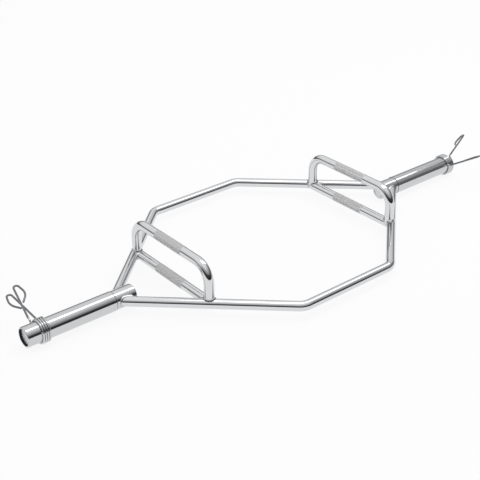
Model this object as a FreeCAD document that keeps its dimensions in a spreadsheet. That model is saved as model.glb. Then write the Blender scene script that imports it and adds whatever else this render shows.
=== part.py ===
import FreeCAD, Part
import math
import os
from types import SimpleNamespace

import Sketcher
from FreeCAD import Placement, Rotation, Vector

# Hex trap bar. Two bent rails make the hexagon, low and high handles stand inside it, and a sleeve
# with a spring collar is at each end. X runs along the sleeves, Y to the rear and Z up.
# Everything is drawn about the sleeves' axis and lifted at the end, so that the coils stand on Z = 0.

# Driving dimensions in millimetres and degrees.
DIMENSIONS = {
    # Hexagonal frame
    "bar_dia": 25.0,
    "frame_width": 614.0,
    "side_run": 257.0,
    "rail_bend": 38.0,
    "meet_span": 950.0,
    # Handles
    "handle_dia": 25.0,
    "grip_spacing": 606.0,
    "high_rise": 94.0,
    "foot_inset": 9.0,
    "high_bend": 45.0,
    "knurl_length": 108.0,
    "knurl_raise": 0.3,
    # Sleeves, hubs and plugs
    "sleeve_dia": 50.0,
    "sleeve_wall": 4.0,
    "sleeve_length": 234.0,
    "rim_round": 2.5,
    "hub_step": 1.0,
    "hub_lip": 0.7,
    "hub_round": 3.0,
    "hub_margin": 2.0,
    "spigot_length": 60.0,
    "spigot_wall": 4.0,
    "spigot_clearance": 0.05,
    "plug_thickness": 8.0,
    "plug_clearance": 0.05,
    "inner_plug_recess": 0.6,
    "outer_plug_recess": 6.0,
    # Weld beads
    "weld_leg": 4.0,
    "low_weld_leg": 3.6,
    "foot_weld_leg": 4.4,
    # Spring collars
    "wire_dia": 5.0,
    "coil_clearance": 0.3,
    "turn_gap": 0.5,
    "full_turns": 4.0,
    "root_bend": 7.0,
    "ball_clearance": 0.3,
    "floor_flat": 0.5,
    "arm_reach": 100.0,
    "arm_lean": 8.0,
    "loop_bend": 7.0,
    "loop_turn": 158.0,
    "loop_run": 11.0,
    "tail_bend": 26.0,
    "tail_turn": 57.0,
    "tail_gap": 1.2,
    "left_collar_inset": 31.0,
    "left_collar_turn": 19.0,
    "left_arm_spread": 4.0,
    "right_collar_inset": 1.0,
    "right_collar_turn": 45.0,
    "right_arm_spread": 26.0,
}

doc = FreeCAD.newDocument("hex_trap_bar")
sheet = doc.addObject("Spreadsheet::Sheet", "Sizes")
for row, (alias, number) in enumerate(DIMENSIONS.items(), start=1):
    sheet.set(f"A{row}", alias)
    sheet.set(f"B{row}", str(number))
    sheet.setAlias(f"B{row}", alias)
doc.recompute()


class Size:
    """A length or angle that knows its expression on the sheet and its value."""

    def __init__(self, text, value):
        self.text = text
        self.value = value

    def __add__(self, other):
        return Size(f"({self.text} + {other.text})", self.value + other.value)

    def __sub__(self, other):
        return Size(f"({self.text} - {other.text})", self.value - other.value)

    def __mul__(self, factor):
        return Size(f"({self.text} * {factor})", self.value * factor)

    def __truediv__(self, factor):
        return Size(f"({self.text} / {factor})", self.value / factor)


def bind(target, prop, length):
    """Tie a property of an object to the sheet."""
    target.setExpression(prop, length.text)


size = SimpleNamespace(**{alias: Size(f"Sizes.{alias}", float(sheet.get(alias))) for alias in DIMENSIONS})

# Places along the right half of the bar, counted from its middle.
meet_x = size.meet_span / 2
sleeve_x = meet_x + size.hub_margin
end_x = sleeve_x + size.sleeve_length
spigot_x = sleeve_x + size.spigot_length
grip_x = size.grip_spacing / 2

# Radii.
bar_r = size.bar_dia / 2
handle_r = size.handle_dia / 2
sleeve_r = size.sleeve_dia / 2
sleeve_bore_r = sleeve_r - size.sleeve_wall
hub_r = sleeve_r - size.hub_step
spigot_r = sleeve_bore_r - size.spigot_clearance
hub_bore_r = spigot_r - size.spigot_wall
wire_r = size.wire_dia / 2
coil_r = sleeve_r + size.coil_clearance + wire_r

# The sleeves' axis stands this high when the coils' flats lie on the floor.
axis_z = coil_r + wire_r - size.floor_flat

# The rail's diagonal runs from the meeting point to the bend, as a tangent to the bend's circle.
half_width = size.frame_width / 2
bend_x = (size.side_run / 2).value
bend_y = (half_width - size.rail_bend).value
to_bend = math.hypot(meet_x.value - bend_x, bend_y)
diagonal = math.atan2(bend_y, meet_x.value - bend_x) + math.asin(size.rail_bend.value / to_bend)

# The hub reaches a lip past the bead round the rail's slanting end.
bead_r = bar_r + size.weld_leg
ring_r = hub_r + size.weld_leg
bead_run = (ring_r.value + bead_r.value * math.cos(diagonal)) / math.sin(diagonal)
bead_reach = bead_run * math.cos(diagonal) + bead_r.value * math.sin(diagonal)
hub_x = meet_x - size.hub_lip - Size(str(bead_reach), bead_reach)
hub_length = sleeve_x - hub_x

# The low grip ends where the diagonals pass it, and the high grip stands on it a little further in.
foot_y = (meet_x - grip_x).value * math.tan(diagonal)
high_foot_y = foot_y - size.foot_inset.value

X_AXIS = Vector(1, 0, 0)
Y_AXIS = Vector(0, 1, 0)
Z_AXIS = Vector(0, 0, 1)
ALONG_X = Rotation(Z_AXIS, X_AXIS)
ALONG_Y = Rotation(Z_AXIS, Y_AXIS)
UPRIGHT_SKETCH = Rotation(Vector(1, 1, 1), 120)
SIDES = {"right": 0.0, "left": 180.0}

nodes = {}


def keep(part, label, half_turn=0.0):
    """Name a finished piece, turn it to its end of the bar and lift it to its height."""
    part.Label = label
    part.Placement = Placement(Vector(), Rotation(Z_AXIS, half_turn))
    bind(part, "Placement.Base.z", axis_z)
    nodes[label] = part


def cylinder(name, radius, length, place, turn):
    """A plain round bar whose radius follows the sheet."""
    rod = doc.addObject("Part::Cylinder", name)
    bind(rod, "Radius", radius)
    rod.Height = length
    rod.Placement = Placement(place, turn)
    return rod


def fuse(name, shapes):
    """Several helpers as one shape."""
    joined = doc.addObject("Part::MultiFuse", name)
    joined.Shapes = shapes
    return joined


def cut(name, base, tool):
    """One helper with another one taken away."""
    rest = doc.addObject("Part::Cut", name)
    rest.Base = base
    rest.Tool = tool
    return rest


def common(name, base, tool):
    """What two helpers share."""
    shared = doc.addObject("Part::Common", name)
    shared.Base = base
    shared.Tool = tool
    return shared


def constrain(sketch, kind, *places, length):
    """Add a dimension to a sketch and tie it to the sheet."""
    index = sketch.addConstraint(Sketcher.Constraint(kind, *places, length.value))
    bind(sketch, f"Constraints[{index}]", length)


def arc(centre, radius, start, end):
    """A sketch arc, counterclockwise from one angle in radians to another."""
    return Part.ArcOfCircle(Part.Circle(centre, Z_AXIS, radius), start, end)


def sweep(name, path, radius, start, direction):
    """A round bar along a sketched path."""
    section = doc.addObject("Part::Circle", f"{name}_section")
    bind(section, "Radius", radius)
    section.Placement = Placement(start, Rotation(Z_AXIS, direction))
    bar = doc.addObject("Part::Sweep", name)
    bar.Sections = [section]
    bar.Spine = (path, [f"Edge{index + 1}" for index in range(path.GeometryCount)])
    bar.Solid = True
    bar.Transition = "Transformed"
    return bar


def sketch_rail():
    """The front rail's centreline: diagonal, bend, long side, bend, diagonal."""
    path = doc.addObject("Sketcher::SketchObject", "rail_path")
    bend = size.rail_bend.value
    bottom = 1.5 * math.pi
    left = Vector(-bend_x, -bend_y)
    right = Vector(bend_x, -bend_y)
    left_touch = left + Vector(-math.sin(diagonal), -math.cos(diagonal)) * bend
    right_touch = right + Vector(math.sin(diagonal), -math.cos(diagonal)) * bend
    drop = Vector(0, -bend)
    path.addGeometry(Part.LineSegment(Vector(-meet_x.value, 0), left_touch))
    path.addGeometry(arc(left, bend, bottom - diagonal, bottom))
    path.addGeometry(Part.LineSegment(left + drop, right + drop))
    path.addGeometry(arc(right, bend, bottom, bottom + diagonal))
    path.addGeometry(Part.LineSegment(right_touch, Vector(meet_x.value, 0)))
    for index in range(4):
        path.addConstraint(Sketcher.Constraint("Tangent", index, 2, index + 1, 1))
    path.addConstraint(Sketcher.Constraint("PointOnObject", 0, 1, -1))
    path.addConstraint(Sketcher.Constraint("PointOnObject", 4, 2, -1))
    path.addConstraint(Sketcher.Constraint("Symmetric", 2, 1, 2, 2, -2))
    constrain(path, "DistanceX", 0, 1, -1, 1, length=meet_x)
    constrain(path, "DistanceX", -1, 1, 4, 2, length=meet_x)
    constrain(path, "DistanceY", 2, 1, -1, 1, length=half_width)
    constrain(path, "DistanceX", 2, 1, 2, 2, length=size.side_run)
    constrain(path, "Radius", 1, length=size.rail_bend)
    constrain(path, "Radius", 3, length=size.rail_bend)
    return path


def sketch_high_handle():
    """The high handle's centreline: up from the front foot, across and down to the rear foot."""
    path = doc.addObject("Sketcher::SketchObject", "high_path")
    path.Placement = Placement(Vector(grip_x.value, 0, 0), UPRIGHT_SKETCH)
    rise = size.high_rise.value
    bend = size.high_bend.value
    quarter = math.pi / 2
    front = Vector(bend - high_foot_y, rise - bend)
    rear = Vector(high_foot_y - bend, rise - bend)
    path.addGeometry(Part.LineSegment(Vector(-high_foot_y, 0), Vector(-high_foot_y, rise - bend)))
    path.addGeometry(arc(front, bend, quarter, 2 * quarter))
    path.addGeometry(Part.LineSegment(Vector(bend - high_foot_y, rise), Vector(high_foot_y - bend, rise)))
    path.addGeometry(arc(rear, bend, 0, quarter))
    path.addGeometry(Part.LineSegment(Vector(high_foot_y, rise - bend), Vector(high_foot_y, 0)))
    path.addConstraint(Sketcher.Constraint("Tangent", 0, 2, 1, 2))
    path.addConstraint(Sketcher.Constraint("Tangent", 1, 1, 2, 1))
    path.addConstraint(Sketcher.Constraint("Tangent", 2, 2, 3, 2))
    path.addConstraint(Sketcher.Constraint("Tangent", 3, 1, 4, 1))
    path.addConstraint(Sketcher.Constraint("Vertical", 0))
    path.addConstraint(Sketcher.Constraint("Vertical", 4))
    path.addConstraint(Sketcher.Constraint("Horizontal", 2))
    path.addConstraint(Sketcher.Constraint("PointOnObject", 0, 1, -1))
    path.addConstraint(Sketcher.Constraint("PointOnObject", 4, 2, -1))
    path.addConstraint(Sketcher.Constraint("DistanceX", 0, 1, -1, 1, high_foot_y))
    path.addConstraint(Sketcher.Constraint("DistanceX", -1, 1, 4, 2, high_foot_y))
    constrain(path, "DistanceY", -1, 1, 2, 1, length=size.high_rise)
    constrain(path, "Radius", 1, length=size.high_bend)
    constrain(path, "Radius", 3, length=size.high_bend)
    return path


def turned_body(label, half_turn, corners, rounds=()):
    """A piece turned about the sleeves' axis. A corner with no radius lies on the axis.

    Each round is (edge's place along the axis, edge's radius, rounding radius).
    """
    body = doc.addObject("PartDesign::Body", label)
    plane = next(item for item in body.Origin.OriginFeatures if item.Role == "XY_Plane")
    outline = body.newObject("Sketcher::SketchObject", f"{label}_outline")
    outline.AttachmentSupport = (plane, [""])
    outline.MapMode = "FlatFace"
    points = [Vector(x.value, r.value if r else 0.0) for x, r in corners]
    count = len(points)
    for index in range(count):
        outline.addGeometry(Part.LineSegment(points[index], points[(index + 1) % count]))
    for index, (x, r) in enumerate(corners):
        outline.addConstraint(Sketcher.Constraint("Coincident", index, 2, (index + 1) % count, 1))
        constrain(outline, "DistanceX", -1, 1, index, 1, length=x)
        if r:
            constrain(outline, "DistanceY", -1, 1, index, 1, length=r)
        else:
            outline.addConstraint(Sketcher.Constraint("PointOnObject", index, 1, -1))
    tip = body.newObject("PartDesign::Revolution", f"{label}_turning")
    tip.Profile = outline
    tip.ReferenceAxis = (outline, ["H_Axis"])
    tip.Angle = 360
    for number, (x, r, radius) in enumerate(rounds):
        doc.recompute()
        tip = round_edge(body, f"{label}_round_{number}", tip, x.value, r.value, radius)
    keep(body, label, half_turn)


def round_edge(body, name, base, x, r, radius):
    """Round the circular edge of a turned body at one place along its axis."""
    near = 1e-4
    edge = next(
        f"Edge{index + 1}"
        for index, item in enumerate(base.Shape.Edges)
        if isinstance(item.Curve, Part.Circle)
        and abs(item.Curve.Radius - r) < near
        and abs(item.CenterOfMass.x - x) < near
    )
    rounding = body.newObject("PartDesign::Fillet", name)
    rounding.Base = (base, [edge])
    bind(rounding, "Radius", radius)
    return rounding


# Helpers that the frame's pieces are cut with.
rail_path = sketch_rail()
rail_start = Vector(-meet_x.value, 0, 0)
rail_heading = Vector(math.cos(diagonal), -math.sin(diagonal), 0)
HALF_TURN = Placement(Vector(), Rotation(Z_AXIS, 180))


def rail_pair(name, radius):
    """The front bar and the rear one, which is the front one turned round, at one radius."""
    front = sweep(f"front_{name}", rail_path, radius, rail_start, rail_heading)
    rear = sweep(f"rear_{name}", rail_path, radius, rail_start, rail_heading)
    rear.Placement = HALF_TURN
    return front, rear


bars = rail_pair("bar", bar_r)
both_bars = fuse("both_bars", list(bars))
both_bead_bars = fuse("both_bead_bars", list(rail_pair("bead_bar", bead_r)))

hub_place = Vector(hub_x.value, 0, 0)
coping_length = hub_length + size.bar_dia
right_coping = cylinder("right_coping", hub_r, coping_length.value, hub_place, ALONG_X)
left_coping = cylinder("left_coping", hub_r, coping_length.value, hub_place * -1, Rotation(Z_AXIS, X_AXIS * -1))
both_copings = fuse("both_copings", [right_coping, left_coping])

low_place = Vector(grip_x.value, -foot_y, 0)
low_bar = cylinder("low_bar", handle_r, 2 * foot_y, low_place, ALONG_Y)
low_bead_bar = cylinder("low_bead_bar", handle_r + size.low_weld_leg, 2 * foot_y, low_place, ALONG_Y)

high_path = sketch_high_handle()
high_start = Vector(grip_x.value, -high_foot_y, 0)
high_bar = sweep("high_bar", high_path, handle_r, high_start, Z_AXIS)

bead_height = bead_r + size.foot_weld_leg
high_bead_bars = fuse(
    "high_bead_bars",
    [
        cylinder(
            f"{name}_foot_bead",
            handle_r + size.foot_weld_leg,
            bead_height.value,
            Vector(grip_x.value, foot, 0),
            Rotation(),
        )
        for name, foot in (("front", -high_foot_y), ("rear", high_foot_y))
    ],
)


def outer_block(name, turn):
    """A block over the outer half of a right-hand diagonal, which the low grip's bead does not cross."""
    half = 2 * bead_r.value
    block = doc.addObject("Part::Box", name)
    block.Length = to_bend
    block.Width = half
    block.Height = 2 * half
    place = Placement(Vector(meet_x.value, 0, -half), Rotation(Z_AXIS, 180 + math.degrees(diagonal)))
    block.Placement = Placement(Vector(), Rotation(X_AXIS, turn)).multiply(place)
    return block


outer_blocks = [outer_block("front_outer_block", 0), outer_block("rear_outer_block", 180)]


def make_rails():
    """Two bent bars, coped to the hubs."""
    for label, bar in zip(("front_rail", "rear_rail"), bars):
        keep(cut(label, bar, both_copings), label)


def knurl_band(name, height):
    """The slightly raised knurled middle of a grip."""
    place = Vector(grip_x.value, -size.knurl_length.value / 2, height)
    band = cylinder(name, handle_r + size.knurl_raise, 0, place, ALONG_Y)
    bind(band, "Height", size.knurl_length)
    return band


def make_handles(side, half_turn):
    """The low grip between the rails and the high grip above it."""
    low = fuse(f"{side}_low_blank", [low_bar, knurl_band(f"{side}_low_knurl", 0)])
    keep(cut(f"{side}_low_handle", low, both_bars), f"{side}_low_handle", half_turn)
    high = fuse(f"{side}_high_blank", [high_bar, knurl_band(f"{side}_high_knurl", size.high_rise.value)])
    seat = fuse(f"{side}_high_seat", [both_bars, low_bar])
    keep(cut(f"{side}_high_handle", high, seat), f"{side}_high_handle", half_turn)


def make_welds(side, half_turn):
    """Beads that fill the corners at the hub and at the feet of both handles."""
    ring = cylinder(f"{side}_hub_ring", ring_r, 0, hub_place, ALONG_X)
    bind(ring, "Height", hub_length)
    hub_bead = common(f"{side}_hub_bead", ring, both_bead_bars)
    hub_core = fuse(f"{side}_hub_core", [right_coping, both_bars])
    keep(cut(f"{side}_hub_welds", hub_bead, hub_core), f"{side}_hub_welds", half_turn)

    low_bead = common(f"{side}_low_bead", low_bead_bar, both_bead_bars)
    low_core = fuse(f"{side}_low_core", [low_bar, both_bars, high_bead_bars, *outer_blocks])
    keep(cut(f"{side}_low_welds", low_bead, low_core), f"{side}_low_welds", half_turn)

    seat = fuse(f"{side}_bead_seat", [both_bead_bars, low_bead_bar])
    high_bead = common(f"{side}_high_bead", high_bead_bars, seat)
    high_core = fuse(f"{side}_high_core", [low_bar, both_bars, high_bar])
    keep(cut(f"{side}_high_welds", high_bead, high_core), f"{side}_high_welds", half_turn)


def make_end(side, half_turn):
    """The hub with its spigot, the sleeve over it and the plugs in their ends."""
    turned_body(
        f"{side}_hub",
        half_turn,
        [
            (hub_x, hub_bore_r),
            (hub_x, hub_r),
            (sleeve_x, hub_r),
            (sleeve_x, spigot_r),
            (spigot_x, spigot_r),
            (spigot_x, hub_bore_r),
        ],
        [(hub_x, hub_r, size.hub_round)],
    )
    turned_body(
        f"{side}_sleeve",
        half_turn,
        [
            (sleeve_x, sleeve_bore_r),
            (sleeve_x, sleeve_r),
            (end_x, sleeve_r),
            (end_x, sleeve_bore_r),
        ],
        [(end_x, sleeve_r, size.rim_round)],
    )
    inner_face = hub_x + size.inner_plug_recess
    outer_face = end_x - size.outer_plug_recess
    plug(f"{side}_inner_plug", half_turn, inner_face, inner_face + size.plug_thickness, hub_bore_r)
    plug(f"{side}_outer_plug", half_turn, outer_face - size.plug_thickness, outer_face, sleeve_bore_r)


def plug(label, half_turn, near_x, far_x, bore_r):
    """A disc that closes a bore."""
    rim = bore_r - size.plug_clearance
    turned_body(label, half_turn, [(near_x, None), (near_x, rim), (far_x, rim), (far_x, None)])


def outward(angle):
    """The direction away from the sleeve's axis at an angle, up from the front, in degrees."""
    turn = math.radians(angle)
    return Vector(0, -math.cos(turn), math.sin(turn))


def bend_edge(start, corner, end):
    """The arc that rounds a corner and touches both of its legs, which are equally long."""
    middle = (start + end) / 2
    half_chord = (end - start).Length / 2
    slope = math.acos(min(1.0, half_chord / (corner - start).Length))
    sagitta = half_chord * math.tan(slope / 2)
    crown = middle + (corner - middle).normalize() * sagitta
    return Part.Arc(start, crown, end).toShape()


def biarc(start, start_heading, end, end_heading):
    """Two arcs that join two points and keep the wire's headings at both."""
    chord = end - start
    both = start_heading + end_heading
    square = 2 * start_heading.dot(end_heading) - 2
    linear = chord.dot(both)
    reach = (linear - math.sqrt(linear**2 - square * chord.dot(chord))) / square
    first = start + start_heading * reach
    second = end - end_heading * reach
    joint = (first + second) / 2
    return [bend_edge(start, first, joint), bend_edge(joint, second, end)]


def tube(edges, radius):
    """A round wire along joined lines and arcs."""
    path = Part.Wire(edges)
    first = edges[0]
    heading = first.tangentAt(first.FirstParameter)
    section = Part.Wire(Part.makeCircle(radius, first.valueAt(first.FirstParameter), heading))
    shell = Part.BRepOffsetAPI.MakePipeShell(path)
    shell.add(section)
    shell.build()
    shell.makeSolid()
    return shell.shape()


class Collar:
    """The route of one spring collar's wire, on the right-hand sleeve."""

    def __init__(self, side):
        spread = getattr(size, f"{side}_arm_spread").value
        turn = getattr(size, f"{side}_collar_turn").value
        inset = getattr(size, f"{side}_collar_inset")
        self.outer_angle = turn + spread / 2
        self.inner_angle = turn - spread / 2
        self.sweep = 360 * size.full_turns.value + spread
        self.start_x = (end_x - inset - wire_r).value
        self.pitch = (size.wire_dia + size.turn_gap).value
        self.outer_pivot = self.pivot(0, self.outer_angle, -1)
        self.inner_pivot = self.pivot(self.sweep, self.inner_angle, 1)

    def point(self, turned):
        """The wire's centre after turning this many degrees from the outer arm."""
        along = Vector(self.start_x - self.pitch * turned / 360, 0, 0)
        return along + outward(self.outer_angle - turned) * coil_r.value

    def heading(self, turned):
        """The wire's direction there."""
        turn = math.radians(self.outer_angle - turned)
        radius = coil_r.value
        climb = -self.pitch / (2 * math.pi)
        return Vector(climb, -radius * math.sin(turn), -radius * math.cos(turn)).normalize()

    def root(self, turned, angle, sense):
        """Where a root bend starts on the coil, its corner and where its arm's stub starts."""
        bend = size.root_bend.value
        on_coil = self.point(turned)
        corner = on_coil + self.heading(turned) * bend * sense
        return on_coil, corner, corner + outward(angle) * bend

    def pivot(self, turned, angle, sense):
        """The end of a stub, one wire's thickness past its root bend, where the arm flexes."""
        return self.root(turned, angle, sense)[2] + outward(angle) * size.wire_dia.value

    def coil_edges(self):
        """Outer stub, root bend, the turns in quarter-turn biarcs, root bend and inner stub."""
        on_coil, corner, stub = self.root(0, self.outer_angle, -1)
        edges = [Part.makeLine(self.outer_pivot, stub), bend_edge(stub, corner, on_coil)]
        quarters = math.ceil(self.sweep / 90)
        steps = [self.sweep * index / quarters for index in range(quarters + 1)]
        for near, far in zip(steps, steps[1:]):
            edges += biarc(self.point(near), self.heading(near), self.point(far), self.heading(far))
        on_coil, corner, stub = self.root(self.sweep, self.inner_angle, 1)
        edges += [bend_edge(on_coil, corner, stub), Part.makeLine(stub, self.inner_pivot)]
        return edges

    def least_gap(self):
        """The least gap between two turns of the coil, measured on points of its centreline."""
        step = 3
        turned = [step * index for index in range(int(self.sweep / step) + 1)]
        points = [self.point(angle) for angle in turned]
        apart = 180 // step
        nearest = min(
            (points[near] - points[far]).Length
            for near in range(len(points))
            for far in range(near + apart, len(points))
        )
        return nearest - size.wire_dia.value

    def arm_edges(self, pivot, angle, towards):
        """A straight arm, the turn at its tip, the way back and the tail that stops short of it."""
        lean = math.radians(size.arm_lean.value)
        along = outward(angle) * math.cos(lean) + towards * math.sin(lean)
        across = towards * math.cos(lean) - outward(angle) * math.sin(lean)

        def heading(turned):
            return along * math.cos(turned) + across * math.sin(turned)

        def inward(turned):
            return across * math.cos(turned) - along * math.sin(turned)

        def turn(start, radius, before, after):
            centre = start + inward(before) * radius
            middle = centre - inward((before + after) / 2) * radius
            end = centre - inward(after) * radius
            return Part.Arc(start, middle, end).toShape(), end

        loop = math.radians(size.loop_turn.value)
        back = loop + math.radians(size.tail_turn.value)
        tip = pivot + along * (size.arm_reach - size.loop_bend - wire_r).value
        crown, top = turn(tip, size.loop_bend.value, 0, loop)
        shoulder = top + heading(loop) * size.loop_run.value
        closing, touch = turn(shoulder, size.tail_bend.value, loop, back)
        stop = (size.wire_dia + size.tail_gap).value
        down = ((touch - pivot).dot(across) - stop) / -math.sin(back)
        return [
            Part.makeLine(pivot, tip),
            crown,
            Part.makeLine(top, shoulder),
            closing,
            Part.makeLine(touch, touch + heading(back) * down),
        ]


def wire_feature(label, half_turn, shape):
    """A wire's finished shape as an object of the document."""
    feature = doc.addObject("Part::Feature", label)
    feature.Shape = shape
    keep(feature, label, half_turn)


def make_collar(side, half_turn):
    """The coil on its sleeve and its two arms, which end in open loops."""
    collar = Collar(side)
    radius = wire_r.value
    cup = radius + size.ball_clearance.value
    edges = collar.coil_edges()
    coil = tube(edges, radius)
    length = sum(edge.Length for edge in edges)
    print(side, "coil volume over section times length", coil.Volume / (math.pi * radius**2 * length))
    print(side, "coil least gap between turns", collar.least_gap())
    reach = coil_r.value * 2
    floor = Part.makeBox(
        reach * 2,
        reach * 2,
        reach,
        Vector(collar.start_x - reach, -reach, -axis_z.value - reach),
    )
    cups = [Part.makeSphere(cup, pivot) for pivot in (collar.outer_pivot, collar.inner_pivot)]
    wire_feature(f"{side}_coil", half_turn, coil.cut([floor, *cups]))
    for name, pivot, angle, towards in (
        ("outer", collar.outer_pivot, collar.outer_angle, X_AXIS * -1),
        ("inner", collar.inner_pivot, collar.inner_angle, X_AXIS),
    ):
        arm = tube(collar.arm_edges(pivot, angle, towards), radius)
        ball = Part.makeSphere(radius, pivot)
        wire_feature(f"{side}_{name}_arm", half_turn, arm.fuse(ball).removeSplitter())
        placed = Rotation(Z_AXIS, half_turn).multVec(pivot) + Vector(0, 0, axis_z.value)
        print(side, name, "arm pivot", [round(value, 3) for value in placed])


make_rails()
for side, half_turn in SIDES.items():
    make_handles(side, half_turn)
    make_welds(side, half_turn)
    make_end(side, half_turn)
    make_collar(side, half_turn)
doc.recompute()

for item in doc.Objects:
    if "Invalid" in item.State or "Error" in item.State:
        raise RuntimeError(f"{item.Label} failed: {item.State}")
for label, item in nodes.items():
    if item.Shape.isNull() or not item.Shape.isValid():
        raise RuntimeError(f"{label} has no valid shape")

os.makedirs("parts", exist_ok=True)
for label, item in nodes.items():
    item.Shape.exportStep(f"parts/{label}.step")
    print(label, len(item.Shape.Solids), "solids", round(item.Shape.Volume, 1), "mm3")
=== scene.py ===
"""Studio scene of a chromed hex trap bar.

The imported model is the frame. Each of its nodes is dressed with a smooth surface worked out with numpy,
in millimetres about the sleeves' axis, and each finish is procedural.
"""

import logging
import math
from dataclasses import dataclass, field, replace
from enum import Enum

import bpy
import numpy as np
from mathutils import Matrix, Vector


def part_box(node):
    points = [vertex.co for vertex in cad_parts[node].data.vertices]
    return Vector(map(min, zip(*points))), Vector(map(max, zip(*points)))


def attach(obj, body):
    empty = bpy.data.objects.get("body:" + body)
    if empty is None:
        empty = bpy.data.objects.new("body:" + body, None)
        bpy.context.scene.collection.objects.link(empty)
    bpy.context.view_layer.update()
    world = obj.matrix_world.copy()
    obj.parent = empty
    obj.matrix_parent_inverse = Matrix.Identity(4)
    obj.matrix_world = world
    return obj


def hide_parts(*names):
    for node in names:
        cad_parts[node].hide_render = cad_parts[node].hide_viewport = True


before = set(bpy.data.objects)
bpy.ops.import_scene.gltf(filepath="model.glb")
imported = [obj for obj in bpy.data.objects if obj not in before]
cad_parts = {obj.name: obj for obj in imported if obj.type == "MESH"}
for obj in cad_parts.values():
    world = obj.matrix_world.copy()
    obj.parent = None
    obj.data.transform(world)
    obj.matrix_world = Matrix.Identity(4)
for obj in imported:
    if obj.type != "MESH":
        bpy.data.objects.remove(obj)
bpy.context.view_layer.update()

LOG = logging.getLogger("trap_bar")
Array = np.ndarray
Tree = bpy.types.NodeTree
Socket = bpy.types.NodeSocket

MM = 0.001
AXIS_HEIGHT = 29.8
ALONG = np.array([1.0, 0.0, 0.0])
ACROSS = np.array([0.0, 1.0, 0.0])
UP = np.array([0.0, 0.0, 1.0])
HALF_ROUND = np.array([-1.0, -1.0, 1.0])
MIRROR_ENDS = np.array([-1.0, 1.0, 1.0])
MIRROR_REAR = np.array([1.0, -1.0, 1.0])
# Sizes that more than one sub-assembly uses, in millimetres.
HUB_R = 24.0
SLEEVE_END = 711.0
# Pieces that meet are let into each other by this much, so that no slit shows.
LET_IN = 0.3


class Side(Enum):
    """The two ends of the bar. The left end is the right one turned half round."""

    RIGHT = "right"
    LEFT = "left"

    def place(self, points: Array) -> Array:
        """Turn points that were drawn on the right to this side."""
        return points if self is Side.RIGHT else points * HALF_ROUND


class Slot(Enum):
    """The record's material slots."""

    BAR = "chrome_bar"
    GRIP = "chrome_grip"
    SLEEVE = "chrome_sleeve"
    WELD = "weld"
    PLUG = "plug"
    WIRE = "spring_wire"


# Shapes


def around(columns: int) -> Array:
    """Evenly spaced angles of a full circle, in radians."""
    return np.linspace(0, 2 * math.pi, columns, endpoint=False)


def unit(vectors: Array) -> Array:
    """Vectors brought to a length of one."""
    return vectors / np.linalg.norm(vectors, axis=-1, keepdims=True)


def swung(angle: Array, first: Array, second: Array) -> Array:
    """A direction for each angle: first cos(angle) + second sin(angle)."""
    return np.cos(angle)[:, None] * first + np.sin(angle)[:, None] * second


def tipped(degrees: float, first: Array | Vector, second: Array | Vector) -> tuple:
    """Two square axes turned in their own plane by an angle, the first towards the second."""
    cos, sin = math.cos(math.radians(degrees)), math.sin(math.radians(degrees))
    return first * cos + second * sin, second * cos - first * sin


def ramp(start: Array, end: Array, count: int) -> Array:
    """Rings that lead straight from one ring to another, both included."""
    share = np.linspace(0, 1, count)[:, None, None]
    return start + share * (end - start)


def reflected(half: Array, flip: Array) -> Array:
    """A whole set of rings from its half, which starts at the middle, and the signs that mirror it."""
    return np.vstack([(half * flip)[:0:-1], half])


@dataclass
class Sheet:
    """A grid of points that closes round its columns.

    Attributes:
        points: Rings by columns by coordinates, in millimetres about the sleeves' axis.
        looped: Whether the last ring joins the first. Otherwise both ends are closed by a fan.
        marks: Named values from 0 to 1, one for each point of the grid.
    """

    points: Array
    looped: bool = False
    marks: dict[str, Array] = field(default_factory=dict)

    def listed(self, grid: Array) -> Array:
        """A grid's values in one list, then the means of its end rings for the fans' poles, if any."""
        poles = [] if self.looped else [[grid[0].mean(axis=0)], [grid[-1].mean(axis=0)]]
        return np.concatenate([grid.reshape(-1, *grid.shape[2:]), *poles])

    def values(self, name: str) -> Array:
        """A mark's values in the order of the vertices, with zeros where it isn't set."""
        return self.listed(self.marks.get(name, np.zeros(self.points.shape[:2])))

    def faces(self) -> tuple[Array, Array]:
        """The corner numbers of the sheet's quads and of its end fans, facing outwards.

        Returns:
            Quads by four corners, and triangles by three corners.
        """
        rings, columns = self.points.shape[:2]
        number = np.arange(rings * columns).reshape(rings, columns)
        if self.looped:
            number = np.vstack([number, number[:1]])
        near, far = number[:-1], number[1:]
        quads = np.stack([near, np.roll(near, -1, 1), np.roll(far, -1, 1), far], axis=-1).reshape(-1, 4)
        fans = np.zeros((0, 3), dtype=int)
        if not self.looped:
            first, last = number[0], number[-1]
            pole = np.full(columns, rings * columns)
            start = np.stack([np.roll(first, -1), first, pole], axis=-1)
            fans = np.vstack([start, np.stack([last, np.roll(last, -1), pole + 1], axis=-1)])
        # The triangles' triple products add up to six times the volume inside, if they face outwards.
        triangles = np.vstack([quads[:, [0, 1, 2]], quads[:, [0, 2, 3]], fans])
        a, b, c = self.listed(self.points)[triangles].transpose(1, 0, 2)
        order = 1 if np.einsum("ij,ij->", a, np.cross(b, c)) > 0 else -1
        return quads[:, ::order], fans[:, ::order]


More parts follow.
